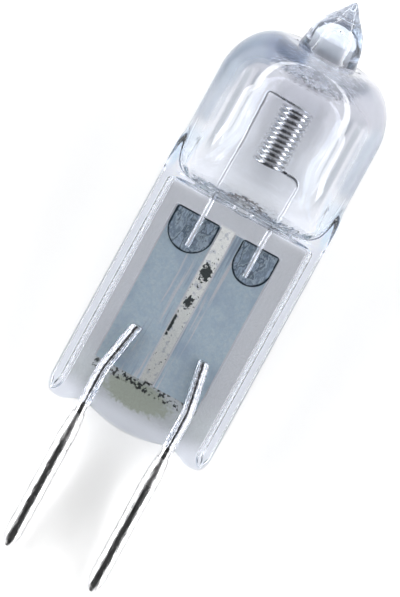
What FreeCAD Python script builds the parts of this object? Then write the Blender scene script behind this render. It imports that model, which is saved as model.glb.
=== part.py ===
"""Halogen capsule lamp with two round pins, lying at rest on its capsule and its pin ends.

Millimetres. Every piece is drawn in the lamp's own axes first: +Z runs along the lamp from the pin
ends to the exhaust tip, X runs across the two pins, and -Y is the face that looks up when the lamp
lies down. Heights are counted from the pin ends. The last step lays all the pieces down together.
"""

import FreeCAD
import Part
import math
import os

from FreeCAD import Vector

# Contact pins of the two-pin base, 6.35 mm between centres
pin_spacing = 6.35
pin_radius = 0.625
pin_length = 10.2
pin_tip_length = 1.35
pin_tip_radius = 0.28
pin_shoulder_length = 1.75
pin_lip = 0.09
pin_socket_depth = 3.0

# Outer leads, from the sockets of the pins to the foils
lead_radius = 0.35
lead_clearance = 0.1
lead_coin = 0.05
lead_bend_height = 3.15
lead_bend_radius = 2.0
lead_weld_inset = 0.66
lead_weld_length = 3.1

# Foils in the pinch
foil_width = 3.4
foil_length = 11.6
foil_thickness = 0.03
foil_gap = 0.98
foil_pair_offset = -0.2
foil_foot_cover = 3.55

# Tabs at the heads of the foils
tab_thickness = 0.03
tab_height = 2.75
tab_rise = 0.05
tab_side_length = 1.35
tab_corner = 0.25
tab_widths = {"left": 3.2, "right": 2.75}
tab_shifts = {"left": 0.0, "right": 0.3}

# Filament
wire_radius = 0.12
wire_coin = 0.02
wire_clearance = 0.08
coil_radius = 1.02
coil_pitch = 0.358
coil_turns = 12
coil_rise = 3.46
coil_reaches = {"left": 2.35, "right": 2.45}
coil_bends = {"left": 0.3, "right": 0.5}
leg_offset = 2.15
leg_weld_length = 2.2
leg_kink_rise = 0.35
leg_kink_radius = 1.2

# Pinch seal
pinch_width = 12.07
pinch_thickness = 3.5
pinch_length = 16.8
pinch_foot_gap = 0.4
pinch_corner = 0.9
pinch_edge = 0.3
fin_height = 3.5
fin_corner = 1.3
rail_width = 0.83
rail_inset = 0.5
pad_depth = 0.45
pad_corner = 0.35
notch_height = 0.5
notch_width = 0.95
notch_corner = 0.3
lobe_dip = 0.3
lobe_radius = 8.0
side_lobe_start = 0.392
side_lobe_corner = 0.8

# Capsule
capsule_radius = 5.9
capsule_wall = 1.05
capsule_length = 11.7
roof_wall = 1.4
shoulder_run = 3.0
shoulder_drop = 3.9
inner_shoulder_run = 2.2
inner_shoulder_drop = 2.4
neck_land = 0.3
neck_ease = 0.87
neck_sink = 0.2

# Floor of the chamber
floor_land = 0.4
slit_half = 0.55
slit_inset = 0.15
slit_floor = 0.1
slit_cusp = 0.4
slit_end_rise = 1.5
slit_eye_reach = 3.6
dimple_radius = 1.0
dimple_rise = 0.65

# Exhaust tip
tip_height = 4.05
tip_radius = 2.0
tip_draft = 0.22
tip_foot_round = 0.45
tip_wall_height = 1.9
tip_collar_radius = 1.15
tip_collar_height = 2.6
tip_cone_radius = 0.93
tip_cone_height = 2.87
tip_point_radius = 0.12
tip_bore_radius = 1.0
tip_bore_height = 1.95
tip_flare_radius = 2.15
tip_flare_height = 0.9

# Heights along the lamp
foot = pin_length + pinch_foot_gap
pad_top = foot + pinch_length
neck_foot = pad_top + neck_land
fin_top = pad_top + fin_height
roof = pad_top + capsule_length
ceiling = roof - roof_wall
foil_foot = foot + foil_foot_cover
foil_head = foil_foot + foil_length
tab_head = foil_head + tab_rise
lead_bend = foot + lead_bend_height
lead_head = foil_foot + lead_weld_length
coil_foot = pad_top + coil_rise
coil_head = coil_foot + coil_turns * coil_pitch
coil_ends = {"left": coil_head, "right": coil_foot}
slit_bottom = pad_top + slit_floor

# Depths through the pinch. The foils lie behind the leads, so that the pins stay on the mid-plane
half_width = pinch_width / 2
half_pinch = pinch_thickness / 2
half_web = half_pinch - pad_depth
foil_face = lead_radius - lead_coin
tab_face = foil_face - tab_thickness
wire_depth = tab_face - wire_radius + wire_coin
pin_offset = pin_spacing / 2
chamber_radius = capsule_radius - capsule_wall

# The squeezed end of the capsule, where its front and back turn in towards the pinch
neck_turn = capsule_radius - half_pinch + neck_ease
neck_top = neck_foot + math.sqrt(neck_turn ** 2 - neck_ease ** 2)
floor_turn = chamber_radius - floor_land
chamber_floor = neck_top - floor_turn
spring = roof - shoulder_drop
neck_join = (neck_top + spring) / 2

SIDES = {"left": -1, "right": 1}
OVERLAP = 1.0
TURN_STEPS = 8


def line(start, end):
    return Part.LineSegment(Vector(*start), Vector(*end)).toShape()


def arc(start, middle, end):
    return Part.Arc(Vector(*start), Vector(*middle), Vector(*end)).toShape()


def quarter_ellipse(centre, side, top):
    """The quarter of an upright ellipse from its side point up to its top point."""
    curve = Part.Ellipse(Vector(*top), Vector(*side), Vector(*centre))
    return Part.ArcOfEllipse(curve, 0, math.pi / 2).toShape()


def rounded_path(corners, closed=True):
    """Straight runs through the corners, each given as a point and the radius that turns it."""
    points = [Vector(*point) for point, radius in corners]
    turns = []
    for index, (place, radius) in enumerate(corners):
        corner = points[index]
        if radius == 0:
            turns.append([corner])
            continue
        back = (points[index - 1] - corner).normalize()
        ahead = (points[(index + 1) % len(points)] - corner).normalize()
        half_angle = back.getAngle(ahead) / 2
        reach = radius / math.tan(half_angle)
        depth = radius / math.sin(half_angle) - radius
        middle = corner + (back + ahead).normalize() * depth
        turns.append([corner + back * reach, middle, corner + ahead * reach])
    edges = []
    for index, turn in enumerate(turns):
        if len(turn) == 3:
            edges.append(Part.Arc(*turn).toShape())
        if closed or index < len(turns) - 1:
            following = turns[(index + 1) % len(turns)]
            edges.append(Part.LineSegment(turn[-1], following[0]).toShape())
    return edges


def revolved(edges):
    """A closed profile in the XZ plane, turned about the lamp's axis."""
    return Part.Face(Part.Wire(edges)).revolve(Vector(0, 0, 0), Vector(0, 0, 1), 360)


def plate(edges, start, thickness):
    """A closed outline in the XZ plane, moved to the depth start and given its thickness in Y."""
    face = Part.Face(Part.Wire(edges))
    face.translate(Vector(0, start, 0))
    return face.extrude(Vector(0, thickness, 0))


def swept(radius, edges):
    """A round wire of the radius along a smooth path that starts out upward."""
    start = edges[0].Vertexes[0].Point
    profile = Part.Wire(Part.makeCircle(radius, start, Vector(0, 0, 1)))
    return Part.Wire(edges).makePipeShell([profile], True, False)


def fitted(radius, room):
    """The radius of a round, or what the room beside it allows."""
    return min(radius, 0.95 * room)


def eased_faces(solid, depth, radius):
    """Rounds the edges of a plate's two faces, which lie at the depth before and behind."""
    edges = [
        edge
        for edge in solid.Edges
        if all(abs(abs(vertex.Point.y) - depth) < 1e-6 for vertex in edge.Vertexes)
        and abs(abs(edge.CenterOfMass.y) - depth) < 1e-6
    ]
    return solid.makeFillet(radius, edges)


def pinch_web():
    """The thin middle of the pinch, with three lobes at its foot between and beside the leads."""
    notch = foot + notch_height
    inner = pin_offset - notch_width / 2
    outer = pin_offset + notch_width / 2
    lobe = outer + side_lobe_start * (half_width - outer)
    room = half_width - lobe
    right = [
        ((inner, 0, notch), notch_corner),
        ((outer, 0, notch), notch_corner),
        ((lobe, 0, foot), fitted(side_lobe_corner, 0.6 * room)),
        ((half_width, 0, foot), fitted(pinch_corner, 0.7 * room)),
        ((half_width, 0, pad_top + OVERLAP), 0),
    ]
    left = [((-place[0], 0, place[2]), radius) for place, radius in reversed(right)]
    middle = [((0, 0, foot - lobe_dip), lobe_radius)]
    outline = rounded_path(middle + right + left)
    web = plate(outline, -half_web, 2 * half_web)
    return eased_faces(web, half_web, fitted(pinch_edge, half_web))


def pinch_frame():
    """The thick rails at both sides of the pads and the shoulders that carry the capsule."""
    rail = half_width - rail_width
    rail_foot = foot + rail_inset
    rail_end = rail_width / 2 - 0.005
    right = [
        ((rail, 0, pad_top), pad_corner),
        ((rail, 0, rail_foot), rail_end),
        ((half_width, 0, rail_foot), rail_end),
        ((half_width, 0, fin_top), fin_corner),
    ]
    left = [((-place[0], 0, place[2]), radius) for place, radius in reversed(right)]
    bars = plate(rounded_path(right + left), -half_pinch, pinch_thickness)
    return eased_faces(bars, half_pinch, fitted(pinch_edge, rail_end))


def tip_profile():
    """Outside of the exhaust tip, from the flat of the roof up to its drawn point."""
    foot_radius = tip_radius + tip_foot_round
    wall_foot = roof + tip_foot_round
    wall_radius = tip_radius - tip_draft
    wall_top = roof + tip_wall_height
    collar = roof + tip_collar_height
    turn = math.sqrt(0.5)
    foot_middle = (foot_radius - tip_foot_round * turn, 0, wall_foot - tip_foot_round * turn)
    bulge_radius = tip_collar_radius + (wall_radius - tip_collar_radius) * turn
    bulge_height = wall_top + (tip_collar_height - tip_wall_height) * turn
    return [
        arc((foot_radius, 0, roof), foot_middle, (tip_radius, 0, wall_foot)),
        line((tip_radius, 0, wall_foot), (wall_radius, 0, wall_top)),
        arc((wall_radius, 0, wall_top), (bulge_radius, 0, bulge_height), (tip_collar_radius, 0, collar)),
        line((tip_collar_radius, 0, collar), (tip_cone_radius, 0, roof + tip_cone_height)),
        line((tip_cone_radius, 0, roof + tip_cone_height), (tip_point_radius, 0, roof + tip_height)),
        line((tip_point_radius, 0, roof + tip_height), (0, 0, roof + tip_height)),
    ]


def capsule_body():
    """The outside of the capsule: round above, squeezed below where it meets the pinch."""
    flat = capsule_radius - shoulder_run
    profile = [
        line((0, 0, neck_join), (capsule_radius, 0, neck_join)),
        line((capsule_radius, 0, neck_join), (capsule_radius, 0, spring)),
        quarter_ellipse((flat, 0, spring), (capsule_radius, 0, spring), (flat, 0, roof)),
        line((flat, 0, roof), (tip_radius + tip_foot_round, 0, roof)),
        *tip_profile(),
        line((0, 0, roof + tip_height), (0, 0, neck_join)),
    ]
    end_turn = math.acos((neck_ease - neck_sink) / neck_turn)
    return revolved(profile).fuse(squeezed_end(capsule_radius, neck_turn, end_turn))


def squeezed_end(radius, turn_radius, end_turn):
    """The lower end of a round tube, squeezed from the front and the back to a narrow oval."""
    ovals = []
    for turn in [end_turn * step / TURN_STEPS for step in range(TURN_STEPS, -1, -1)]:
        height = neck_top - turn_radius * math.sin(turn)
        ovals.append(oval(radius, radius - turn_radius * (1 - math.cos(turn)), height))
    for height in ((neck_top + neck_join) / 2, neck_join):
        ovals.append(oval(radius, radius, height))
    return Part.makeLoft(ovals, True)


def oval(half_width, half_depth, height):
    """A level oval in two halves, parted at the front and the back."""
    curve = Part.Ellipse(Vector(0, 0, height), half_width, half_depth)
    quarter = math.pi / 2
    halves = [Part.ArcOfEllipse(curve, start, start + 2 * quarter) for start in (-quarter, quarter)]
    return Part.Wire([half.toShape() for half in halves])


def chamber():
    """The hollow of the capsule: a round room, a narrow trough and the blind exhaust bore."""
    flat = chamber_radius - inner_shoulder_run
    inner_spring = ceiling - inner_shoulder_drop
    bore_top = roof + tip_bore_height
    bore_wall = bore_top - tip_bore_radius
    flare_top = ceiling + tip_flare_height
    turn = math.sqrt(0.5)
    flare_middle = tip_flare_radius - (tip_flare_radius - tip_bore_radius) * turn
    room = revolved([
        line((0, 0, neck_join), (chamber_radius, 0, neck_join)),
        line((chamber_radius, 0, neck_join), (chamber_radius, 0, inner_spring)),
        quarter_ellipse((flat, 0, inner_spring), (chamber_radius, 0, inner_spring), (flat, 0, ceiling)),
        line((flat, 0, ceiling), (tip_flare_radius, 0, ceiling)),
        arc(
            (tip_flare_radius, 0, ceiling),
            (flare_middle, 0, flare_top - tip_flare_height * turn),
            (tip_bore_radius, 0, flare_top),
        ),
        line((tip_bore_radius, 0, flare_top), (tip_bore_radius, 0, bore_wall)),
        arc(
            (tip_bore_radius, 0, bore_wall),
            (tip_bore_radius * turn, 0, bore_wall + tip_bore_radius * turn),
            (0, 0, bore_top),
        ),
        line((0, 0, bore_top), (0, 0, neck_join)),
    ])
    room = room.fuse(squeezed_end(chamber_radius, floor_turn, math.pi / 2))
    half = chamber_radius - slit_inset
    foot_corner = Vector(-half, -slit_half, pad_top - OVERLAP)
    slit = Part.makeBox(2 * half, 2 * slit_half, neck_top - foot_corner.z, foot_corner)
    return room.fuse(slit).common(scalloped_floor()).fuse(dimple())


def scalloped_floor():
    """All that lies above the floor of the chamber: three hollows, parted where the legs stand."""
    cusp = slit_bottom + slit_cusp
    end = slit_bottom + slit_end_rise
    top = roof + tip_height
    outline = [
        arc((-chamber_radius, 0, end), (-slit_eye_reach, 0, slit_bottom), (-leg_offset, 0, cusp)),
        arc((-leg_offset, 0, cusp), (0, 0, slit_bottom), (leg_offset, 0, cusp)),
        arc((leg_offset, 0, cusp), (slit_eye_reach, 0, slit_bottom), (chamber_radius, 0, end)),
        line((chamber_radius, 0, end), (chamber_radius, 0, top)),
        line((chamber_radius, 0, top), (-chamber_radius, 0, top)),
        line((-chamber_radius, 0, top), (-chamber_radius, 0, end)),
    ]
    return plate(outline, -chamber_radius, 2 * chamber_radius)


def dimple():
    """The small round pool in the middle of the chamber's floor."""
    return Part.makeSphere(dimple_radius, Vector(0, 0, slit_bottom + dimple_rise))


def ogive_middle(end_radius, full_radius, length, full_height, direction):
    """Middle point of the arc that leaves a pin's wall smoothly and narrows to the end radius."""
    drop = full_radius - end_radius
    radius = ogive_radius(drop, length)
    half_angle = math.asin(length / radius) / 2
    reach = full_radius - radius + radius * math.cos(half_angle)
    return (reach, 0, full_height + direction * radius * math.sin(half_angle))


def ogive_radius(drop, length):
    return (length ** 2 + drop ** 2) / (2 * drop)


def contact_pin(side):
    """A round pin with a drawn tip, a sloped shoulder and the socket for its lead."""
    shoulder = pin_length - pin_shoulder_length
    lip = lead_radius + pin_lip
    socket = pin_length - pin_socket_depth
    pin = revolved([
        line((0, 0, 0), (pin_tip_radius, 0, 0)),
        arc(
            (pin_tip_radius, 0, 0),
            ogive_middle(pin_tip_radius, pin_radius, pin_tip_length, pin_tip_length, -1),
            (pin_radius, 0, pin_tip_length),
        ),
        line((pin_radius, 0, pin_tip_length), (pin_radius, 0, shoulder)),
        arc(
            (pin_radius, 0, shoulder),
            ogive_middle(lip, pin_radius, pin_shoulder_length, shoulder, 1),
            (lip, 0, pin_length),
        ),
        line((lip, 0, pin_length), (lead_radius, 0, pin_length)),
        line((lead_radius, 0, pin_length), (lead_radius, 0, socket)),
        line((lead_radius, 0, socket), (0, 0, socket)),
        line((0, 0, socket), (0, 0, 0)),
    ])
    pin.translate(Vector(SIDES[side] * pin_offset, 0, 0))
    return pin


def lead_path(side, start, past_end):
    """Centre line of an outer lead: straight up, then leaning inward over its foil."""
    sign = SIDES[side]
    lean = lead_weld_inset / (lead_head - lead_bend)
    end = lead_head + past_end
    return rounded_path([
        ((sign * pin_offset, 0, start), 0),
        ((sign * pin_offset, 0, lead_bend), lead_bend_radius),
        ((sign * (pin_offset - lean * (end - lead_bend)), 0, end), 0),
    ], closed=False)


def behind_foil_face(face):
    """All the room behind a plane of the seal, over the height of the foils and tabs."""
    height = tab_head - foil_foot
    return Part.makeBox(pinch_width, pinch_thickness, height, Vector(-half_width, face, foil_foot))


def outer_lead(side):
    """A round lead, pressed flat where it is welded to its foil."""
    start = pin_length - pin_socket_depth
    return swept(lead_radius, lead_path(side, start, 0)).cut(behind_foil_face(foil_face))


def lead_channel(side):
    """The fine gap that the glass leaves around a lead, open at the foot of the pinch."""
    channel = swept(lead_radius + lead_clearance, lead_path(side, pin_length, lead_clearance))
    return channel.cut(behind_foil_face(foil_face))


def foil_centre(side):
    return foil_pair_offset + SIDES[side] * (foil_gap + foil_width) / 2


def foil(side):
    """A thin foil in the seal, with its front on the backs of the wires."""
    corner = Vector(foil_centre(side) - foil_width / 2, foil_face, foil_foot)
    return Part.makeBox(foil_width, foil_thickness, foil_length, corner)


def weld_tab(side):
    """A tab with a straight head and a bowed foot, between a foil and a leg of the filament."""
    centre = foil_centre(side) + tab_shifts[side]
    right = centre + tab_widths[side] / 2
    left = centre - tab_widths[side] / 2
    shoulder = tab_head - tab_side_length
    outline = rounded_path([
        ((right, 0, shoulder), 0),
        ((right, 0, tab_head), tab_corner),
        ((left, 0, tab_head), tab_corner),
        ((left, 0, shoulder), 0),
    ], closed=False)
    bow = arc((left, 0, shoulder), (centre, 0, tab_head - tab_height), (right, 0, shoulder))
    return plate(outline + [bow], tab_face, tab_thickness)


def leg_corners(side):
    """Corners of one leg, from its welded end up to the back of the coil."""
    sign = SIDES[side]
    coil_height = coil_ends[side]
    rise = coil_pitch / (2 * math.pi * coil_radius)
    reach = coil_reaches[side]
    weld_foot = tab_head - leg_weld_length
    kink = tab_head + leg_kink_rise
    return [
        ((sign * leg_offset, wire_depth, weld_foot), 0),
        ((sign * leg_offset, wire_depth, kink), leg_kink_radius),
        ((sign * reach, coil_radius, coil_height - sign * reach * rise), coil_bends[side]),
        ((0, coil_radius, coil_height), 0),
    ]


def filament():
    """One wire: up the right leg, round the coil and down the left leg."""
    helix = Part.makeHelix(coil_pitch, coil_head - coil_foot, coil_radius)
    helix.rotate(Vector(0, 0, 0), Vector(0, 0, 1), 90)
    helix.translate(Vector(0, 0, coil_foot))
    up = rounded_path(leg_corners("right"), closed=False)
    down = rounded_path(list(reversed(leg_corners("left"))), closed=False)
    wire = swept(wire_radius, up + helix.Edges + down)
    return wire.cut(behind_foil_face(tab_face))


def leg_channel(side):
    """The fine gap that the glass leaves around a leg, from below its weld up into the chamber."""
    (weld_foot, _), (kink, turn), (bend, _), _ = leg_corners(side)
    radius = wire_radius + wire_clearance
    lean = (Vector(*bend) - Vector(*kink)) * ((chamber_floor + radius - kink[2]) / (bend[2] - kink[2]))
    path = rounded_path([
        (Vector(*weld_foot) - Vector(0, 0, wire_clearance), 0),
        (kink, turn),
        (Vector(*kink) + lean, 0),
    ], closed=False)
    return swept(radius, path).cut(behind_foil_face(tab_face))


def lying_tilt():
    """Slope of the axis when the lamp rests on the tips of its pins and the back of its neck.

    Both rests are arcs seen from the side, so the floor is the common tangent of two circles.
    """
    pin_arc = ogive_radius(pin_radius - pin_tip_radius, pin_tip_length)
    length = neck_top - pin_tip_length
    height = (capsule_radius - neck_turn) - (pin_radius - pin_arc)
    distance = math.hypot(length, height)
    return math.atan2(height, length) - math.asin((pin_arc - neck_turn) / distance)


def build():
    pieces = {"filament": filament()}
    for side in SIDES:
        pieces["foil_" + side] = foil(side)
        pieces["weld_tab_" + side] = weld_tab(side)
        pieces["outer_lead_" + side] = outer_lead(side)
        pieces["contact_pin_" + side] = contact_pin(side)
    glass = capsule_body().fuse([pinch_web(), pinch_frame()]).removeSplitter()
    sealed = [pieces["filament"]]
    for side in SIDES:
        sealed += [pieces["foil_" + side], pieces["weld_tab_" + side]]
        sealed += [lead_channel(side), leg_channel(side)]
    pieces["glass_envelope"] = glass.cut([chamber()] + sealed)
    return pieces


def lay_down(pieces):
    """Lays the lamp on the floor with its front up, the middle of its outline over the origin."""
    turn = math.degrees(lying_tilt()) - 90
    for shape in pieces.values():
        shape.rotate(Vector(0, 0, 0), Vector(1, 0, 0), turn)
    box = Part.makeCompound(list(pieces.values())).optimalBoundingBox(False, False)
    for shape in pieces.values():
        shape.translate(Vector(0, -(box.YMin + box.YMax) / 2, -box.ZMin))


pieces = build()
lay_down(pieces)
os.makedirs("parts", exist_ok=True)
for name, shape in pieces.items():
    if not shape.isValid() or len(shape.Solids) != 1:
        raise ValueError(name + " is not one valid solid")
    shape.exportStep("parts/" + name + ".step")
    print(name, round(shape.Volume, 4))
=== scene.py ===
"""Halogen capsule lamp lying on a pale studio table, seen from above.

The glass is drawn in millimetres in the lamp's own axes: Z along the lamp from the pin ends to the
exhaust tip, X across the pins, and -Y the face that looks up. lay() brings it into the row frame.
"""

import math

import bpy
import numpy as np
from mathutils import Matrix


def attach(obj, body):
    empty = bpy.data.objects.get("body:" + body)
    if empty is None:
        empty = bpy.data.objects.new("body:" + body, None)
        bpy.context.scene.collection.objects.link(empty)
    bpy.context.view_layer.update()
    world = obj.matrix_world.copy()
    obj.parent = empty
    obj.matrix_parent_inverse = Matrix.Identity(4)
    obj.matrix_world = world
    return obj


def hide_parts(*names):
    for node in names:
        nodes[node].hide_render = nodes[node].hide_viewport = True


# Leads and foils. Sizes and levels of the lamp are in millimetres, the main ones as in the CAD source
PIN_OFFSET = 3.175
LEAD_CHANNEL = 0.45
LEAD_START = 10.75
LEAD_BEND = 13.75
LEAD_HEAD = 17.25
LEAD_INSET = 0.66
FOIL_FACE = 0.30
FOIL_FOOT = 14.15
TAB_THICKNESS = 0.03

# Filament: its legs lean out from a kink above their feet, and end at the coil's head and foot
LEG_OFFSET = 2.15
LEG_DEPTH = 0.17
LEG_CHANNEL = 0.20
LEG_FOOT = 23.6
LEG_KINK = 26.15
LEFT_REACH = 2.35
RIGHT_REACH = 2.45
COIL_FOOT = 30.86
COIL_HEAD = 35.156
COIL_RADIUS = 1.02

# Pinch: a web with a lobed foot, and at each edge a rail that runs up into a fin
FOOT = 10.6
PAD_TOP = 27.4
WEB_TOP = 29.0
FIN_TOP = 30.9
HALF_WIDTH = 6.02
HALF_PINCH = 1.75
HALF_WEB = 1.30
RAIL = 5.205
RAIL_FOOT = 11.1
WAIST = 0.2
WAIST_LEVELS = (11.0, 12.2)
MIDDLE_LOBE = 2.7
MIDDLE_NOTCH = 0.48
LOBES_PART = 3.1
SIDE_LOBE = (3.5, 4.9)
SIDE_NOTCH = 0.5

# Capsule, and the neck that closes from it down to the pinch
CAPSULE_RADIUS = 5.9
ROOF = 39.1
ROOF_RUN = 3.0
ROOF_DROP = 3.9
NECK_TOP = 32.644
NECK_RADIUS = 5.02
NECK_FOOT = 27.7
NECK_END = 26.9
NECK_SLOPE = 1.5
NECK_THINNEST = 0.3

# Exhaust tip: a stub, the ring that it draws in to, and the point
STUB_TOP = 41.95
RING_RADIUS = 0.95
RING_LEVEL = 41.86
RING_HALF = 0.12
POINT_FOOT = 41.2
POINT_TOP = 43.17

# Chamber, the slit and bowls of its squeezed floor, and its exhaust bore
CHAMBER_RADIUS = 4.85
CEILING = 37.7
CEILING_RUN = 2.2
CEILING_DROP = 2.4
FLOOR_RADIUS = 4.45
SLIT_HALF = 0.55
SLIT_INSET = 0.15
SLIT_DROP = 1.0
SLIT_BOTTOM = 27.5
RIDGE_RISE = 0.4
BOWL_MIDDLE = 3.07
BOWL_CURVE = 0.473
DIMPLE_LEVEL = 28.15
DIMPLE_RADIUS = 1.0
BORE_RADIUS = 1.0
BORE_FOOT = 37.0
BORE_END = 40.05
BORE_FLARE = 0.7

# Grid lines that the glass is meshed on, as stretches of (start, end, step), finer where it turns
OUTER_X = ((0, 2.2, 0.11), (2.2, 4.8, 0.2), (4.8, 6.3, 0.09))
OUTER_Y = ((0, 1.0, 0.12), (1.0, 2.0, 0.09), (2.0, 6.2, 0.17))
OUTER_Z = (
    (10.2, 12.0, 0.09), (12.0, 26.8, 0.6), (26.8, 28.4, 0.09), (28.4, 32.0, 0.14),
    (32.0, 35.5, 0.35), (35.5, 38.6, 0.14), (38.6, 41.0, 0.1), (41.0, 43.4, 0.06),
)
INNER_X = ((0, 3.0, 0.16), (3.0, 5.1, 0.11))
INNER_Y = ((0, 1.2, 0.12), (1.2, 5.1, 0.17))
INNER_Z = ((26.8, 28.6, 0.09), (28.6, 31.6, 0.15), (31.6, 35.0, 0.35), (35.0, 41.2, 0.12))

# How a point of the mesh is brought onto the surface: rounds, share of the way in each, and how far
# it may stray from the middle of its cell, in cells
NET_ROUNDS = 12
NET_STEP = 0.8
NET_ROOM = 0.6

# A channel's rounded end, as distances from the end and the share of the radius there, the step along
# it, how far it runs on past its wire, its top in the chamber, and how far it clears foil and tab
ROUND_END = ((0.0, 0.02), (0.04, 0.7), (0.12, 1.0))
CHANNEL_STEP = 0.25
CHANNEL_SPARE = 0.1
CHANNEL_TOP = SLIT_BOTTOM + 0.5
CLEARANCE = 0.005

# A value that keeps divisions off zero, and the step over which a field's slope is taken
TINY = 1e-9
SLOPE_STEP = 1e-3

# Scales that bring the slanted fields of the pinch's foot and the chamber's floor near to a distance
FOOT_SCALE = 0.9
FLOOR_SCALE = 0.8

MM_PER_METRE = 1000

# How the lamp lies: the slope of its axis, and the point of the row frame that its origin falls on
TILT = math.radians(9.624033)
ORIGIN = (0.0, -21.257979, 0.430109)

# The photograph: its height in pixels, pixels to a millimetre at the lamp's middle, the point of the
# lamp in its centre, and the lamp's turn in it. The camera's distance is in metres.
PICTURE_HEIGHT = 597
PIXELS_PER_MM = 15.12
PICTURE_CENTRE = (0.265, 0, 20.83)
PHOTO_TURN = 28.6
CAMERA_DISTANCE = 0.6

# Radiance of the studio's ceiling, its softboxes, the gaps beyond them and its two ends
DARK = 0.05
HALO = 2.1
BOX = 11.0
GAP = 0.9
END = 1.1

# The studio from side to side: share of the way from straight up to level, and the radiance there
STUDIO = ((0.40, DARK), (0.43, HALO), (0.655, HALO), (0.665, BOX), (0.775, BOX), (0.785, GAP))

# Heights between which the low ends of the studio fade out
END_LEVELS = (0.12, 0.25)

# How far the softboxes lean apart towards the lamp's foot
SPREAD = 1.1

# Bounces that light may take. It glances along inside the curved glass, which uses up the default
BOUNCES = 28
GLOSSY_BOUNCES = 20

# The table's half width in metres, its colour, and the light added to what is seen of it
TABLE_HALF = 2
TABLE_COLOUR = (0.9, 0.9, 0.9)
FLOOR_LIFT = 0.37

# Tints of the glass's outer skin, by place: what is left of white light that crosses it twice. Their grey
# is partly a faint tint of the glass and partly painted shade, and several places carry painted light and
# shade
FRONT_TINT = (0.68, 0.69, 0.75)
BACK_TINT_AND_SHADE = (0.39, 0.40, 0.42)
LOW_BACK_TINT_AND_SHADE = (0.48, 0.52, 0.52)
MIST_TINT = (0.20, 0.22, 0.26)
CHAMBER_TINT = (0.67, 0.69, 0.74)
CAPSULE_TINT = (0.50, 0.51, 0.57)
# Painted light: the exhaust tip is paler than the capsule below it
TIP_PAINTED_LIGHT = (0.74, 0.80, 0.90)
SHOULDER_PAINTED_SHADE = (0.20, 0.26, 0.35)
ROOF_PAINTED_REFLECTION = (0.11, 0.15, 0.25)
RIM_PAINTED_SHADE = (0.31, 0.37, 0.47)
SIDE_PAINTED_LIGHT = (0.95, 0.96, 1.0)
WALL_PAINTED_SHADE = (0.30, 0.33, 0.38)
EDGE_PAINTED_LIGHT = (0.82, 0.84, 0.90)
FIN_PAINTED_LIGHT = (0.74, 0.86, 1.0)
STRIP_TINT = (0.70, 0.69, 0.60)
INK_TINT = (0.30, 0.34, 0.24)
BLOT_TINT = (0.004, 0.005, 0.005)

# Tint of the deposits on its inner walls
STAIN_TINT = (0.08, 0.06, 0.05)

# Three blots of the worn print: middle across and along the lamp, half width and half height
BLOTS = (((-0.2, 22.45), 0.42, 0.75), ((-0.3, 20.1), 0.3, 0.5), ((-0.6, 18.3), 0.14, 0.9))

# How the glass bends light, and what its body takes out of it
GLASS_IOR = 1.46
ABSORPTION_COLOUR = (0.55, 0.62, 0.72)
ABSORPTION_DENSITY = 45.0

WHITE = (1, 1, 1)

# Foils: their edges across the lamp, and half the width of the pale line on each
FOIL_EDGES = (-4.09, -0.69, 0.29, 3.69)
EDGE_LINE = 0.07

# Welded tabs: the level where their straight sides end, the depth of their round foot, and the
# levels between which the dark rim starts at their top
TAB_SPRING = 24.45
TAB_DROP = 1.4
TAB_TOP = (25.66, 25.72)


def lay(points):
    """Points in the lamp's axes, in millimetres, brought into the row frame in metres."""
    x, y, z = np.asarray(points, float).T
    sine = math.sin(TILT)
    cosine = math.cos(TILT)
    placed = np.stack([x, sine * y + cosine * z, sine * z - cosine * y], axis=1)
    return (placed + np.array(ORIGIN)) / MM_PER_METRE


def soft_max(a, b, width):
    """The greater of two fields, rounded over the width where they meet."""
    blend = np.maximum(width - np.abs(a - b), 0) / width
    return np.maximum(a, b) + blend * blend * width / 4


def soft_min(a, b, width):
    return -soft_max(-a, -b, width)


def smooth_step(low, high, value):
    t = np.clip((value - low) / (high - low), 0, 1)
    return t * t * (3 - 2 * t)


def domed_tube(r, z, radius, run, drop, top):
    """A tube of the radius about the axis, closed above by a flat roof with elliptic shoulders."""
    across = np.maximum(r - (radius - run), 0) / run
    up = np.maximum(z - (top - drop), 0) / drop
    length = np.sqrt(across ** 2 + up ** 2) + TINY
    steep = np.sqrt((across / run) ** 2 + (up / drop) ** 2) / length + TINY
    return np.where(length > 1000 * TINY, (length - 1) / steep, -run)


def oval_tube(x, y, half_width, half_depth):
    """About the distance to an upright oval tube."""
    reach = np.sqrt((x / half_width) ** 2 + (y / half_depth) ** 2) + TINY
    steep = np.sqrt((x / half_width ** 2) ** 2 + (y / half_depth ** 2) ** 2) / reach + TINY
    return (reach - 1) / steep


def tapered(r, z, radius, level, taper, scale):
    """About the distance to a cone about the axis that has the radius at the level."""
    return (r - radius + taper * (z - level)) * scale


def exhaust_tip(r, z):
    """The tube stub on the roof, drawn in to a ring and off to a point."""
    wall = tapered(r, z, radius=1.96, level=39.87, taper=0.16, scale=0.99)
    shoulder = tapered(r, z, radius=1.71, level=41.02, taper=0.82, scale=0.77)
    stub = soft_max(soft_max(wall, shoulder, 0.45), z - STUB_TOP, 0.15)
    ring = soft_max(r - RING_RADIUS, np.abs(z - RING_LEVEL) - RING_HALF, 0.12)
    cone = tapered(r, z, radius=0.10, level=43.16, taper=0.70, scale=0.82)
    point = soft_max(soft_max(cone, POINT_FOOT - z, 0.1), z - POINT_TOP, 0.15)
    return soft_min(soft_min(stub, ring, 0.12), point, 0.16)


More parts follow.
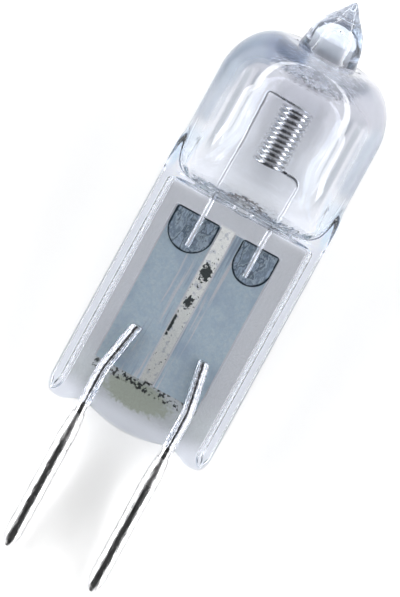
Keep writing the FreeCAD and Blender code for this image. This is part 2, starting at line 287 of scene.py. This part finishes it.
def pinch(x, y, z):
    """The pressed seal: a thin web with a lobed foot, between two rails that end in round feet."""
    side = np.abs(x)
    depth = np.abs(y)
    middle_lobe = MIDDLE_NOTCH * np.minimum(side / MIDDLE_LOBE, 1) ** 2
    side_lobe = SIDE_NOTCH * (1 - smooth_step(*SIDE_LOBE, side))
    foot = FOOT + np.where(side < LOBES_PART, middle_lobe, side_lobe)
    width = HALF_WIDTH - WAIST * smooth_step(*WAIST_LEVELS, z)
    outline = soft_max(side - width, (foot - z) * FOOT_SCALE, 1.0)
    web = soft_max(soft_max(outline, depth - HALF_WEB, 0.7), z - WEB_TOP, 0.1)
    pad = soft_max(side - RAIL, z - PAD_TOP, 0.4)
    bars = soft_max(soft_max(side - HALF_WIDTH, z - FIN_TOP, 1.5), -pad, 0.25)
    bars = soft_max(soft_max(bars, RAIL_FOOT - z, 0.9), depth - HALF_PINCH, 0.45)
    return soft_min(web, bars, 0.25)


def outside(x, y, z):
    """Negative inside the lamp's outer surface, about the distance to it in millimetres."""
    r = np.sqrt(x * x + y * y)
    tube = domed_tube(r, z, CAPSULE_RADIUS, ROOF_RUN, ROOF_DROP, ROOF)
    capsule = soft_min(tube, exhaust_tip(r, z), 0.14)
    drop = np.clip(NECK_TOP - z, 0, NECK_RADIUS)
    depth = CAPSULE_RADIUS - NECK_RADIUS + np.sqrt(NECK_RADIUS ** 2 - drop ** 2)
    closing = HALF_PINCH - NECK_SLOPE * (NECK_FOOT - z)
    depth = np.where(z < NECK_FOOT, closing, np.maximum(depth, HALF_PINCH))
    neck = oval_tube(x, y, CAPSULE_RADIUS, np.maximum(depth, NECK_THINNEST))
    capsule = np.where(z < NECK_TOP, soft_max(neck, NECK_END - z, 0.1), capsule)
    return soft_min(capsule, pinch(x, y, z), 0.1)


def hollow(x, y, z):
    """Negative inside the chamber and its exhaust bore."""
    side = np.abs(x)
    square = x * x + y * y
    room = domed_tube(np.sqrt(square), z, CHAMBER_RADIUS, CEILING_RUN, CEILING_DROP, CEILING)
    drop = np.clip(NECK_TOP - z, 0, FLOOR_RADIUS)
    depth = CHAMBER_RADIUS - FLOOR_RADIUS + np.sqrt(FLOOR_RADIUS ** 2 - drop ** 2)
    neck = soft_max(oval_tube(x, y, CHAMBER_RADIUS, depth), NECK_TOP - FLOOR_RADIUS - z, 0.3)
    slit = soft_max(side - CHAMBER_RADIUS + SLIT_INSET, np.abs(y) - SLIT_HALF, 0.3)
    slit = soft_max(slit, z - NECK_TOP + SLIT_DROP, 0.3)
    room = np.where(z < NECK_TOP, soft_min(neck, slit, 0.4), room)
    ridge = RIDGE_RISE * (side / LEG_OFFSET) ** 2
    bowl = BOWL_CURVE * (side - BOWL_MIDDLE) ** 2
    floor = SLIT_BOTTOM + np.where(side < LEG_OFFSET, ridge, bowl)
    room = soft_max(room, (floor - z) * FLOOR_SCALE, 0.4)
    dimple = np.sqrt(square + (z - DIMPLE_LEVEL) ** 2) - DIMPLE_RADIUS
    room = soft_min(room, dimple, 0.12)
    bore = np.sqrt(square + np.maximum(z - BORE_END, 0) ** 2) - BORE_RADIUS
    return soft_min(room, np.maximum(bore, BORE_FOOT - z), BORE_FLARE)


def spaced(stretches):
    """Grid lines from stretches of (start, end, step)."""
    lines = [np.linspace(a, b, max(2, round((b - a) / step) + 1))[:-1] for a, b, step in stretches]
    return np.concatenate(lines + [[stretches[-1][1]]])


def mirrored(stretches):
    """Grid lines from stretches that start at 0, and the same ones on the other side of it."""
    right = spaced(stretches)
    return np.concatenate([-right[:0:-1], right])


def slope_of(field, points):
    """The field's slope along the three axes at each point."""
    x, y, z = points.T
    step = SLOPE_STEP
    return np.stack([
        (field(x + step, y, z) - field(x - step, y, z)) / (2 * step),
        (field(x, y + step, z) - field(x, y - step, z)) / (2 * step),
        (field(x, y, z + step) - field(x, y, z - step)) / (2 * step),
    ], axis=1)


def net_points(field, cells, lines):
    """One point in each cell, brought onto the surface along the field's slope."""
    low = np.stack([lines[axis][cells[:, axis]] for axis in range(3)], axis=1)
    high = np.stack([lines[axis][cells[:, axis] + 1] for axis in range(3)], axis=1)
    middle = (low + high) / 2
    room = (high - low) * NET_ROOM
    points = middle
    for _ in range(NET_ROUNDS):
        slope = slope_of(field, points)
        step = field(*points.T)[:, None] * slope / ((slope ** 2).sum(axis=1)[:, None] + TINY)
        points = np.clip(points - NET_STEP * step, middle - room, middle + room)
    return points


def net_quads(inside, number, axis):
    """For each grid edge along the axis that the surface crosses, a quad of the four cells round it."""
    size = inside.shape
    first = np.take(inside, range(size[axis] - 1), axis=axis)
    second = np.take(inside, range(1, size[axis]), axis=axis)
    edges = np.argwhere(first != second)
    u = (axis + 1) % 3
    v = (axis + 2) % 3
    within = (edges[:, u] > 0) & (edges[:, v] > 0)
    within &= (edges[:, u] < size[u] - 1) & (edges[:, v] < size[v] - 1)
    edges = edges[within]
    ring = []
    for du, dv in ((1, 1), (0, 1), (0, 0), (1, 0)):
        cell = edges.copy()
        cell[:, u] -= du
        cell[:, v] -= dv
        ring.append(number[tuple(cell.T)])
    ring = np.stack(ring, axis=1)
    leaving = first[tuple(edges.T)]
    return np.where(leaving[:, None], ring, ring[:, ::-1])


def surface_net(field, xs, ys, zs):
    """Points, quads and outward normals of the surface where the field is zero."""
    inside = field(*np.meshgrid(xs, ys, zs, indexing="ij")) < 0
    corners = sum(
        inside[i:len(xs) - 1 + i, j:len(ys) - 1 + j, k:len(zs) - 1 + k].astype(np.int8)
        for i in (0, 1) for j in (0, 1) for k in (0, 1)
    )
    crossed = (corners > 0) & (corners < 8)
    number = np.full(crossed.shape, -1)
    number[crossed] = np.arange(crossed.sum())
    points = net_points(field, np.argwhere(crossed), (xs, ys, zs))
    quads = np.concatenate([net_quads(inside, number, axis) for axis in range(3)])
    slope = slope_of(field, points)
    normals = slope / np.linalg.norm(slope, axis=1)[:, None]
    return points, quads, normals


def channel(path, radius, face, face_foot, sides):
    """Points, faces and normals of a blind channel that the glass leaves round a wire.

    Above face_foot it is flat behind, where it runs over the front of a foil or tab.
    """
    path = np.asarray(path, float)
    stations = [(path[0] + [0, 0, rise], share) for rise, share in ROUND_END]
    for start, end in zip(path[:-1], path[1:]):
        count = max(2, int(np.linalg.norm(end - start) / CHANNEL_STEP))
        stations += [(start + (end - start) * (step + 0.5) / count, 1.0) for step in range(count)]
    stations += [(path[-1] - [0, 0, rise], share) for rise, share in ROUND_END]
    stations.sort(key=lambda station: station[0][2])
    angles = np.arange(sides) * 2 * math.pi / sides
    ring = np.stack([np.cos(angles), np.sin(angles), np.zeros(sides)], axis=1)
    points = np.concatenate([centre + ring * radius * share for centre, share in stations])
    normals = np.tile(-ring, (len(stations), 1))
    flat = (points[:, 1] > face) & (points[:, 2] > face_foot)
    points[flat, 1] = face
    normals[flat] = (0, -1, 0)
    faces = []
    for row in range(len(stations) - 1):
        for column in range(sides):
            following = (column + 1) % sides
            here = row * sides
            above = here + sides
            faces.append((here + following, here + column, above + column, above + following))
    faces.append(tuple(range(sides)))
    faces.append(tuple(reversed(range(len(points) - sides, len(points)))))
    return points, faces, normals


def lead_channel(sign):
    path = [
        (sign * PIN_OFFSET, 0, LEAD_START),
        (sign * PIN_OFFSET, 0, LEAD_BEND),
        (sign * (PIN_OFFSET - LEAD_INSET), 0, LEAD_HEAD + CHANNEL_SPARE),
    ]
    return channel(path, LEAD_CHANNEL, FOIL_FACE - CLEARANCE, FOIL_FOOT, sides=24)


def leg_channel(sign, reach, head):
    """The channel of a filament leg that leans out to reach, across the lamp, at the level head."""
    foot = LEG_FOOT - CHANNEL_SPARE
    lean = (CHANNEL_TOP - LEG_KINK) / (head - LEG_KINK)
    across = LEG_OFFSET + lean * (reach - LEG_OFFSET)
    depth = LEG_DEPTH + lean * (COIL_RADIUS - LEG_DEPTH)
    path = [
        (sign * LEG_OFFSET, LEG_DEPTH, foot),
        (sign * LEG_OFFSET, LEG_DEPTH, LEG_KINK),
        (sign * across, depth, CHANNEL_TOP),
    ]
    return channel(path, LEG_CHANNEL, FOIL_FACE - TAB_THICKNESS - CLEARANCE, foot, sides=12)


def glass_parts():
    """The lamp's outer surface, its chamber and the channels round its wires."""
    points, quads, normals = surface_net(outside, mirrored(OUTER_X), mirrored(OUTER_Y), spaced(OUTER_Z))
    parts = [(points, quads.tolist(), normals)]
    points, quads, normals = surface_net(hollow, mirrored(INNER_X), mirrored(INNER_Y), spaced(INNER_Z))
    parts.append((points, quads[:, ::-1].tolist(), -normals))
    for sign, reach, head in ((-1, LEFT_REACH, COIL_HEAD), (1, RIGHT_REACH, COIL_FOOT)):
        parts.append(lead_channel(sign))
        parts.append(leg_channel(sign, reach, head))
    return parts


def make_mesh(name, parts):
    """One mesh object from parts of (points, faces, normals), given in the lamp's axes.

    Its attribute "inner" is 0 on the first part and 1 on the others.
    """
    points = []
    faces = []
    normals = []
    for part_points, part_faces, part_normals in parts:
        first = sum(len(block) for block in points)
        points.append(part_points)
        normals.append(part_normals)
        faces += [[first + corner for corner in face] for face in part_faces]
    mesh = bpy.data.meshes.new(name)
    mesh.from_pydata(lay(np.concatenate(points)).tolist(), [], faces)
    mesh.shade_smooth()
    turned = lay(np.concatenate(normals)) - lay([(0, 0, 0)])
    turned /= np.linalg.norm(turned, axis=1)[:, None]
    mesh.normals_split_custom_set_from_vertices(turned.tolist())
    inner = mesh.attributes.new("inner", "FLOAT", "POINT")
    inner.data.foreach_set("value", np.arange(len(mesh.vertices)) >= len(parts[0][0]))
    return add_object(name, mesh)


def add_object(name, data):
    added = bpy.data.objects.new(name, data)
    bpy.context.scene.collection.objects.link(added)
    return added


class Nodes:
    """Short calls for the nodes and links of one node tree."""

    def __init__(self, tree):
        self.tree = tree

    def fill(self, socket, value):
        """Link another socket to this one, or give it a plain value."""
        if isinstance(value, bpy.types.NodeSocket):
            self.tree.links.new(value, socket)
        elif socket.type == "RGBA":
            socket.default_value = (*value, 1)
        else:
            socket.default_value = value

    def node(self, kind, inputs, **settings):
        node = self.tree.nodes.new(kind)
        for key, value in settings.items():
            setattr(node, key, value)
        for key, value in inputs.items():
            self.fill(node.inputs[key], value)
        return node

    def maths(self, operation, *values):
        node = self.node("ShaderNodeMath", dict(enumerate(values)), operation=operation)
        return node.outputs["Value"]

    def both(self, *masks):
        """The product of the masks, 1 only where all of them are."""
        result = masks[0]
        for mask in masks[1:]:
            result = self.maths("MULTIPLY", result, mask)
        return result

    def rise(self, value, low, high):
        """0 below low, 1 above high and smooth between them, or the other way round if low is above."""
        node = self.node("ShaderNodeMapRange", {
            "Value": value, "From Min": low, "From Max": high,
        }, interpolation_type="SMOOTHSTEP")
        return node.outputs["Result"]

    def band(self, value, low, high, soft):
        """1 between low and high, fading to 0 over the width soft outside them."""
        start = self.rise(value, low - soft, low)
        end = self.rise(value, high + soft, high)
        return self.both(start, end)

    def remap(self, value, source, target):
        """The value, with the stretch source brought evenly onto the stretch target."""
        node = self.node("ShaderNodeMapRange", {
            "Value": value, "From Min": source[0], "From Max": source[1],
            "To Min": target[0], "To Max": target[1],
        })
        return node.outputs["Result"]

    def mix(self, under, over, mask, blend="MIX"):
        """The colour under, covered by the colour over where the mask is 1."""
        node = self.node("ShaderNodeMix", {}, data_type="RGBA", blend_type=blend)
        for key, value in (("Factor", mask), ("A", under), ("B", over)):
            self.fill(node.inputs[key], value)
        return node.outputs["Result"]

    def ramp(self, factor, *stops):
        """Colours by the factor, from stops of (place, colour)."""
        node = self.node("ShaderNodeValToRGB", {"Fac": factor})
        elements = node.color_ramp.elements
        while len(elements) < len(stops):
            elements.new(0.5)
        for element, (place, colour) in zip(elements, stops):
            element.position = place
            element.color = (*colour, 1)
        return node.outputs["Color"]


class Material(Nodes):
    """A node material whose places are in the lamp's own axes, in millimetres."""

    def __init__(self, name):
        self.data = bpy.data.materials.new(name)
        self.data.use_nodes = True
        super().__init__(self.data.node_tree)

    def set(self, **values):
        shader = self.tree.nodes["Principled BSDF"]
        for key, value in values.items():
            self.fill(shader.inputs[key.replace("_", " ")], value)

    def lamp_space(self, scale=(1, 1, 1)):
        """Coordinates along the lamp's own axes, in millimetres times the scale."""
        place = self.node("ShaderNodeTexCoord", {}).outputs["Object"]
        turned = self.node("ShaderNodeVectorRotate", {
            "Vector": place, "Axis": (1, 0, 0), "Angle": math.pi / 2 - TILT,
        }, rotation_type="AXIS_ANGLE")
        sine = math.sin(TILT)
        cosine = math.cos(TILT)
        shift = (0, cosine * ORIGIN[2] - sine * ORIGIN[1], -cosine * ORIGIN[1] - sine * ORIGIN[2])
        stretched = self.node("ShaderNodeMapping", {
            "Vector": turned.outputs["Vector"],
            "Location": tuple(part * factor for part, factor in zip(shift, scale)),
            "Scale": tuple(MM_PER_METRE * factor for factor in scale),
        })
        return stretched.outputs["Vector"]

    def lamp_axes(self):
        """The sockets X, Y and Z of the place along the lamp's own axes."""
        return self.node("ShaderNodeSeparateXYZ", {"Vector": self.lamp_space()}).outputs

    def noise(self, scale, stretch=(1, 1, 1), detail=3.0, roughness=0.55):
        """A cloudy value about 0.5, whose places are stretched where an axis has less than 1."""
        node = self.node("ShaderNodeTexNoise", {
            "Vector": self.lamp_space(stretch), "Scale": scale, "Detail": detail, "Roughness": roughness,
        })
        return node.outputs["Fac"]

    def oval(self, across, up, middle, half_across, half_up):
        """Distance from the middle of an oval, 1 on its edge."""
        u = self.maths("DIVIDE", self.maths("SUBTRACT", across, middle[0]), half_across)
        v = self.maths("DIVIDE", self.maths("SUBTRACT", up, middle[1]), half_up)
        squares = self.maths("ADD", self.maths("MULTIPLY", u, u), self.maths("MULTIPLY", v, v))
        return self.maths("SQRT", squares)

    def ragged(self, reach, noise, amount):
        """A distance made uneven by a noise, so that what ends at it has a ragged edge."""
        return self.maths("ADD", reach, self.maths("MULTIPLY", noise, amount))

    def bump(self, *layers):
        """A normal tipped by layers of (height, strength, depth in millimetres), one over the other."""
        tipped = {}
        for height, strength, depth in layers:
            node = self.node("ShaderNodeBump", {
                "Height": height, "Strength": strength, "Distance": depth / MM_PER_METRE, **tipped,
            })
            tipped = {"Normal": node.outputs["Normal"]}
        return tipped["Normal"]


def skin_tints(material, axes, fins):
    """The tints of the outer skin, from the two faces of the pinch up to the exhaust tip: a faint grey that
    is partly painted shade, with patches of painted light and shade.
    """
    x, y, z = axes
    side = material.maths("ABSOLUTE", x)
    # Painted shade: the back face is darker than the front, less so near the foot
    back = material.mix(BACK_TINT_AND_SHADE, LOW_BACK_TINT_AND_SHADE, material.rise(z, 15.5, 13.0))
    skin = material.mix(FRONT_TINT, back, material.rise(y, 0.9, 1.2))
    mist = material.rise(material.noise(7.0), 0.40, 0.62)
    # Painted light: the rails, the pad's top corners and the lobed foot are made paler
    rails = material.both(material.rise(side, 5.05, 5.35), material.rise(z, 28.2, 27.2))
    corners = material.both(material.rise(side, 1.6, 3.2), material.band(z, 27.4, 29.0, 0.8))
    # Painted light: a paler band down each side of the neck and capsule
    sides = material.both(material.band(side, 4.75, 5.35, 0.6), material.band(z, 28.2, 36.0, 1.0))
    # Painted shade: a grey line down each side where the chamber wall bends the light
    walls = material.both(material.band(side, 3.95, 4.15, 0.2), material.band(z, 31.5, 36.0, 1.5))
    # Painted shade: the outermost rim of the capsule is darker
    rim = material.both(material.rise(side, 5.45, 5.8), material.rise(z, 31.0, 32.0))
    # Painted shade: a dark arc on the left shoulder of the capsule
    arc = material.oval(x, material.maths("MAXIMUM", z, 35.2), (-2.9, 35.2), 3.0, 3.9)
    left_shoulder = material.both(
        material.rise(arc, 0.78, 0.88), material.rise(x, -2.9, -3.5), material.rise(z, 33.0, 35.5),
    )
    # Painted dark reflection: a patch on the front of the roof, left of the tip
    roof = material.both(
        material.band(x, -3.7, -1.3, 0.6), material.band(z, 38.4, 39.2, 0.3), material.rise(y, 0.4, -0.4),
    )
    layers = (
        (MIST_TINT, material.maths("MULTIPLY", mist, 0.14)),
        (CHAMBER_TINT, material.rise(z, 27.0, 28.4)),
        (CAPSULE_TINT, material.rise(z, 31.5, 37.0)),
        (TIP_PAINTED_LIGHT, material.rise(z, 39.3, 39.8)),
        (EDGE_PAINTED_LIGHT, rails),
        (EDGE_PAINTED_LIGHT, corners),
        (EDGE_PAINTED_LIGHT, material.rise(z, 12.6, 11.2)),
        (SIDE_PAINTED_LIGHT, sides),
        (WALL_PAINTED_SHADE, walls),
        (FIN_PAINTED_LIGHT, fins),
        (RIM_PAINTED_SHADE, rim),
        (SHOULDER_PAINTED_SHADE, left_shoulder),
        (ROOF_PAINTED_REFLECTION, roof),
    )
    for tint, region in layers:
        skin = material.mix(skin, tint, region)
    return skin


def worn_print(material, skin, axes, specks):
    """What is left of a print on the back of the pinch: a pale strip, a green field and dark blots."""
    x, y, z = axes
    rear = material.both(material.rise(y, 0.9, 1.2), material.rise(z, 27.2, 26.9))
    strip = material.both(rear, material.band(x, -0.78, 0.2, 0.1), material.band(z, 14.2, 25.6, 0.3))
    grain = material.noise(2.4, detail=4.0)
    field = material.ragged(material.oval(x, z, (-0.35, 12.95), 2.5, 1.0), specks, 0.9)
    field = material.both(rear, material.rise(field, 1.55, 1.25), material.rise(z, 14.5, 14.3))
    line = material.both(
        rear, material.band(z, 13.4, 14.1, 0.1), material.band(x, -3.9, 3.6, 0.1),
        material.rise(specks, 0.52, 0.55),
    )
    layers = [
        (STRIP_TINT, material.both(strip, material.rise(grain, 0.36, 0.46))),
        (INK_TINT, field),
        (BLOT_TINT, material.both(strip, material.rise(specks, 0.66, 0.69))),
        (BLOT_TINT, line),
    ]
    for middle, half_width, half_height in BLOTS:
        blot = material.ragged(material.oval(x, z, middle, half_width, half_height), specks, 2.4)
        layers.append((BLOT_TINT, material.both(rear, material.rise(blot, 2.15, 2.0))))
    for tint, region in layers:
        skin = material.mix(skin, tint, region)
    return skin


def quartz():
    """Clear glass, faintly grey in its skin, partly as painted shade and with painted light and shade in
    places, with soot and crumbs of quartz under its ceiling.
    """
    material = Material("quartz")
    x, y, z = axes = material.lamp_axes()
    side = material.maths("ABSOLUTE", x)
    inner = material.node("ShaderNodeAttribute", {}, attribute_name="inner").outputs["Fac"]
    specks = material.noise(5.0, detail=2.0)
    # The fins: paler by painted light in the skin, and a little matt
    fins = material.both(material.rise(side, 5.1, 5.7), material.band(z, 28.5, 30.4, 1.0))
    skin = worn_print(material, skin_tints(material, axes, fins), axes, specks)

    # Deposits: soot under the ceiling, and a broken dark ring on the floor
    ceiling = material.both(inner, material.band(z, 37.3, 38.2, 0.3), material.rise(side, 3.2, 1.2))
    residue = material.noise(3.6)
    soot = material.both(ceiling, material.rise(residue, 0.51, 0.57))
    pool = material.ragged(material.oval(x, z, (0.0, 28.75), 1.0, 0.33), specks, 1.8)
    ring = material.both(material.rise(y, -0.8, -1.2), material.band(pool, 1.75, 2.0, 0.2))
    deposit = material.mix(WHITE, STAIN_TINT, material.maths("MAXIMUM", soot, ring))

    # Relief: ripples of the blown skin, draw marks on the tip, swirls in the floor, and crumbs
    ripple = material.both(material.noise(0.9, (1, 1, 0.18), detail=2.0), material.rise(z, 26.0, 29.0))
    draws = material.both(material.noise(1.6, (1, 1, 0.25), detail=1.0), material.rise(z, 39.0, 39.5))
    swirls = material.both(inner, material.noise(1.4, detail=1.0), material.rise(z, 29.4, 28.4))
    crumbs = material.both(ceiling, residue)

    # Matt places, where light caught between curved skins would show as dark bands
    frosted = material.both(inner, material.band(z, 38.6, 39.9, 0.4))
    matt_fins = material.maths("MULTIPLY", fins, 0.2)
    matt_bore = material.maths("MULTIPLY", frosted, 0.6)
    material.set(
        Base_Color=material.mix(skin, deposit, inner),
        Roughness=material.maths("ADD", matt_fins, matt_bore),
        IOR=GLASS_IOR,
        Transmission_Weight=1.0,
        Normal=material.bump(
            (ripple, 0.15, 0.04), (draws, 1.0, 0.06), (swirls, 1.0, 0.10), (crumbs, 1.0, 0.45),
        ),
    )
    absorption = material.node("ShaderNodeVolumeAbsorption", {
        "Color": ABSORPTION_COLOUR, "Density": ABSORPTION_DENSITY,
    })
    material.fill(material.tree.nodes["Material Output"].inputs["Volume"], absorption.outputs["Volume"])
    return material.data


def lead_wire():
    """Drawn molybdenum: a mottled grey wire."""
    material = Material("molybdenum_lead")
    grain = material.noise(4.0, detail=5.0)
    material.set(
        Base_Color=material.ramp(grain, (0.35, (0.40, 0.40, 0.41)), (0.65, (0.90, 0.90, 0.91))),
        Metallic=1.0,
        Roughness=material.remap(grain, (0.35, 0.65), (0.14, 0.28)),
        Normal=material.bump((grain, 0.5, 0.02)),
    )
    return material.data


def filament_wire():
    """Drawn tungsten: bright on the legs, greyer on the coil as painted shade between its turns, and matt
    on the side inside the coil.
    """
    material = Material("tungsten")
    x, y, z = material.lamp_axes()
    grain = material.noise(3.0, detail=4.0)
    legs = material.ramp(grain, (0.35, (0.82, 0.82, 0.83)), (0.65, (0.95, 0.95, 0.96)))
    # Painted shade: the coil is greyer than the legs, for the shade between its turns
    coil = material.ramp(grain, (0.35, (0.62, 0.62, 0.63)), (0.65, (0.80, 0.80, 0.81)))
    wound = material.both(
        material.rise(material.maths("ABSOLUTE", x), 1.5, 1.2), material.rise(z, 30.3, 30.7),
    )
    reach = material.oval(x, y, (0, 0), COIL_RADIUS, COIL_RADIUS)
    within = material.both(wound, material.rise(reach, 1.0, 0.94))
    smooth = material.both(wound, material.rise(reach, 0.94, 1.0))
    material.set(
        Base_Color=material.mix(material.mix(legs, coil, wound), (0.9, 0.9, 0.9), within),
        Metallic=1.0,
        Roughness=material.remap(smooth, (0, 1), (0.35, 0.06)),
        Normal=material.bump((grain, 0.3, 0.002)),
    )
    return material.data


def plated_pin():
    """Bright plated wire with drawing marks, duller on the head that grips the lead."""
    material = Material("plated_pin")
    marks = material.noise(6.0, (1.4, 1.4, 0.25), detail=4.0)
    head = material.rise(material.lamp_axes()["Z"], 7.4, 8.6)
    material.set(
        Base_Color=material.ramp(marks, (0.38, (0.50, 0.50, 0.51)), (0.50, (0.86, 0.86, 0.87))),
        Metallic=1.0,
        Roughness=material.remap(head, (0, 1), (0.10, 0.32)),
        Normal=material.bump((marks, 1.0, 0.03)),
    )
    return material.data


def rolled_foil():
    """Thin molybdenum sheet: fine rolled grain, pale edges and a few long creases beside the gap, painted
    with highlights and shade.
    """
    material = Material("molybdenum_foil")
    x = material.lamp_axes()["X"]
    grain = material.noise(5.0, detail=4.0)
    cloud = material.noise(0.5, detail=2.0)
    lines = material.noise(3.6, (1, 1, 0.05), detail=2.0)
    # Painted highlight and shade: white and dark lines along the creases beside the gap
    painted_crease_light_and_shade = material.maths("MAXIMUM", material.band(x, -2.1, -0.95, 0.2), material.band(x, 0.4, 1.1, 0.2))
    colour = material.ramp(grain, (0.3, (0.70, 0.86, 0.94)), (0.7, (0.86, 0.98, 1.0)))
    layers = [
        ((0.62, 0.76, 0.86), material.rise(cloud, 0.45, 0.75)),
        (WHITE, material.both(painted_crease_light_and_shade, material.rise(lines, 0.54, 0.66))),
        ((0.55, 0.66, 0.76), material.both(painted_crease_light_and_shade, material.rise(lines, 0.44, 0.34))),
    ]
    layers += [(WHITE, material.band(x, edge - EDGE_LINE, edge + EDGE_LINE, 0.04)) for edge in FOIL_EDGES]
    for tint, region in layers:
        colour = material.mix(colour, tint, region)
    material.set(
        Base_Color=colour,
        Metallic=0.05,
        Roughness=0.55,
        Normal=material.bump((material.maths("ADD", grain, lines), 0.6, 0.01)),
    )
    return material.data


def crumpled_tab(middle, half_width):
    """A small dark sheet, wrinkled all over, its wrinkles painted in bands of light and shade, with a dark
    rim round its D shape.
    """
    material = Material("weld_tab")
    x, _, z = material.lamp_axes()
    folds = material.noise(0.9, (1.4, 1, 0.7), detail=4.0, roughness=0.6)
    # Painted light and shade: pale and dark bands along the wrinkles
    colour = material.ramp(
        folds, (0.34, (0.76, 0.90, 1.0)), (0.43, (0.36, 0.46, 0.57)), (0.48, (0.82, 0.95, 1.0)),
        (0.53, (0.17, 0.23, 0.31)), (0.58, (0.76, 0.90, 1.0)), (0.66, (0.38, 0.48, 0.58)),
    )
    low = material.maths("MINIMUM", z, TAB_SPRING)
    edge = material.oval(x, low, (middle, TAB_SPRING), half_width, TAB_DROP)
    edge = material.ragged(edge, material.noise(2.0), 0.12)
    rim = material.maths("MAXIMUM", material.rise(edge, 0.95, 1.0), material.rise(z, *TAB_TOP))
    material.set(
        Base_Color=material.mix(colour, (0.03, 0.05, 0.07), rim),
        Metallic=0.2,
        Roughness=0.4,
        Normal=material.bump((folds, 1.0, 0.03)),
    )
    return material.data


def assign(piece, material):
    piece.data.materials.clear()
    piece.data.materials.append(material)


def make_camera():
    """A long lens straight above the lamp, turned so that the lamp leans across the picture."""
    data = bpy.data.cameras.new("camera")
    pixels_per_metre = PIXELS_PER_MM * MM_PER_METRE
    data.lens = pixels_per_metre * CAMERA_DISTANCE * data.sensor_width / PICTURE_HEIGHT
    camera = add_object("camera", data)
    x, y, z = lay([PICTURE_CENTRE])[0]
    camera.location = (x, y, z + CAMERA_DISTANCE)
    camera.rotation_euler = (0, 0, math.radians(PHOTO_TURN))
    bpy.context.scene.camera = camera


def make_world():
    """A studio with a softbox along each side of the lamp, a dark ceiling and low grey ends."""
    world = bpy.data.worlds.new("studio")
    bpy.context.scene.world = world
    world.use_nodes = True
    sky = Nodes(world.node_tree)
    place = sky.node("ShaderNodeTexCoord", {}).outputs["Generated"]
    x, y, z = sky.node("ShaderNodeSeparateXYZ", {"Vector": place}).outputs
    spread = sky.maths("MULTIPLY_ADD", sky.maths("MINIMUM", y, 0.0), -SPREAD, z)
    swing = sky.maths("ARCTAN2", sky.maths("ABSOLUTE", x), spread)
    share = sky.maths("DIVIDE", swing, math.pi / 2)
    boxes = sky.ramp(share, *((stop, (level, level, level)) for stop, level in STUDIO))
    ends = sky.remap(z, END_LEVELS, (END, 0.0))
    light = sky.mix(boxes, ends, 1.0, blend="LIGHTEN")
    sky.fill(world.node_tree.nodes["Background"].inputs["Color"], light)


def make_floor():
    """A pale table that shows white where it is seen, mirrored or looked at through the glass."""
    corners = [(TABLE_HALF * x, TABLE_HALF * y, 0) for x, y in ((-1, -1), (1, -1), (1, 1), (-1, 1))]
    mesh = bpy.data.meshes.new("table")
    mesh.from_pydata(corners, [], [(0, 1, 2, 3)])
    table = add_object("table", mesh)
    material = Material("table")
    rays = material.node("ShaderNodeLightPath", {}).outputs
    seen = material.maths("MAXIMUM", rays["Is Camera Ray"], rays["Is Glossy Ray"])
    seen = material.maths("MAXIMUM", seen, rays["Is Transmission Ray"])
    material.set(
        Base_Color=TABLE_COLOUR,
        Roughness=0.8,
        Specular_IOR_Level=0.0,
        Emission_Color=WHITE,
        Emission_Strength=material.maths("MULTIPLY", seen, FLOOR_LIFT),
    )
    assign(table, material.data)


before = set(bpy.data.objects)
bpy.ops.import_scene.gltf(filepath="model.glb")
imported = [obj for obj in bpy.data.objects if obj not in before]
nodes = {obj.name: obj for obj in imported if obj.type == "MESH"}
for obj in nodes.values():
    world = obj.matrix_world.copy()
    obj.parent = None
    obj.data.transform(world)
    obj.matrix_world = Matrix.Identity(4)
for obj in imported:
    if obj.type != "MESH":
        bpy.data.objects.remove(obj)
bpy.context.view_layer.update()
scene = bpy.context.scene
scene.view_settings.view_transform = "Standard"
scene.cycles.max_bounces = BOUNCES
scene.cycles.glossy_bounces = GLOSSY_BOUNCES
scene.cycles.transmission_bounces = BOUNCES

make_camera()
make_world()
make_floor()

glass = make_mesh("glass", glass_parts())
assign(glass, quartz())
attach(glass, "root")
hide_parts("glass_envelope")

tungsten = filament_wire()
foil = rolled_foil()
tabs = {"left": crumpled_tab(-2.39, 1.6), "right": crumpled_tab(2.29, 1.375)}
lead = lead_wire()
pin = plated_pin()
assign(nodes["filament"], tungsten)
for side in ("left", "right"):
    assign(nodes["foil_" + side], foil)
    assign(nodes["weld_tab_" + side], tabs[side])
    assign(nodes["outer_lead_" + side], lead)
    assign(nodes["contact_pin_" + side], pin)
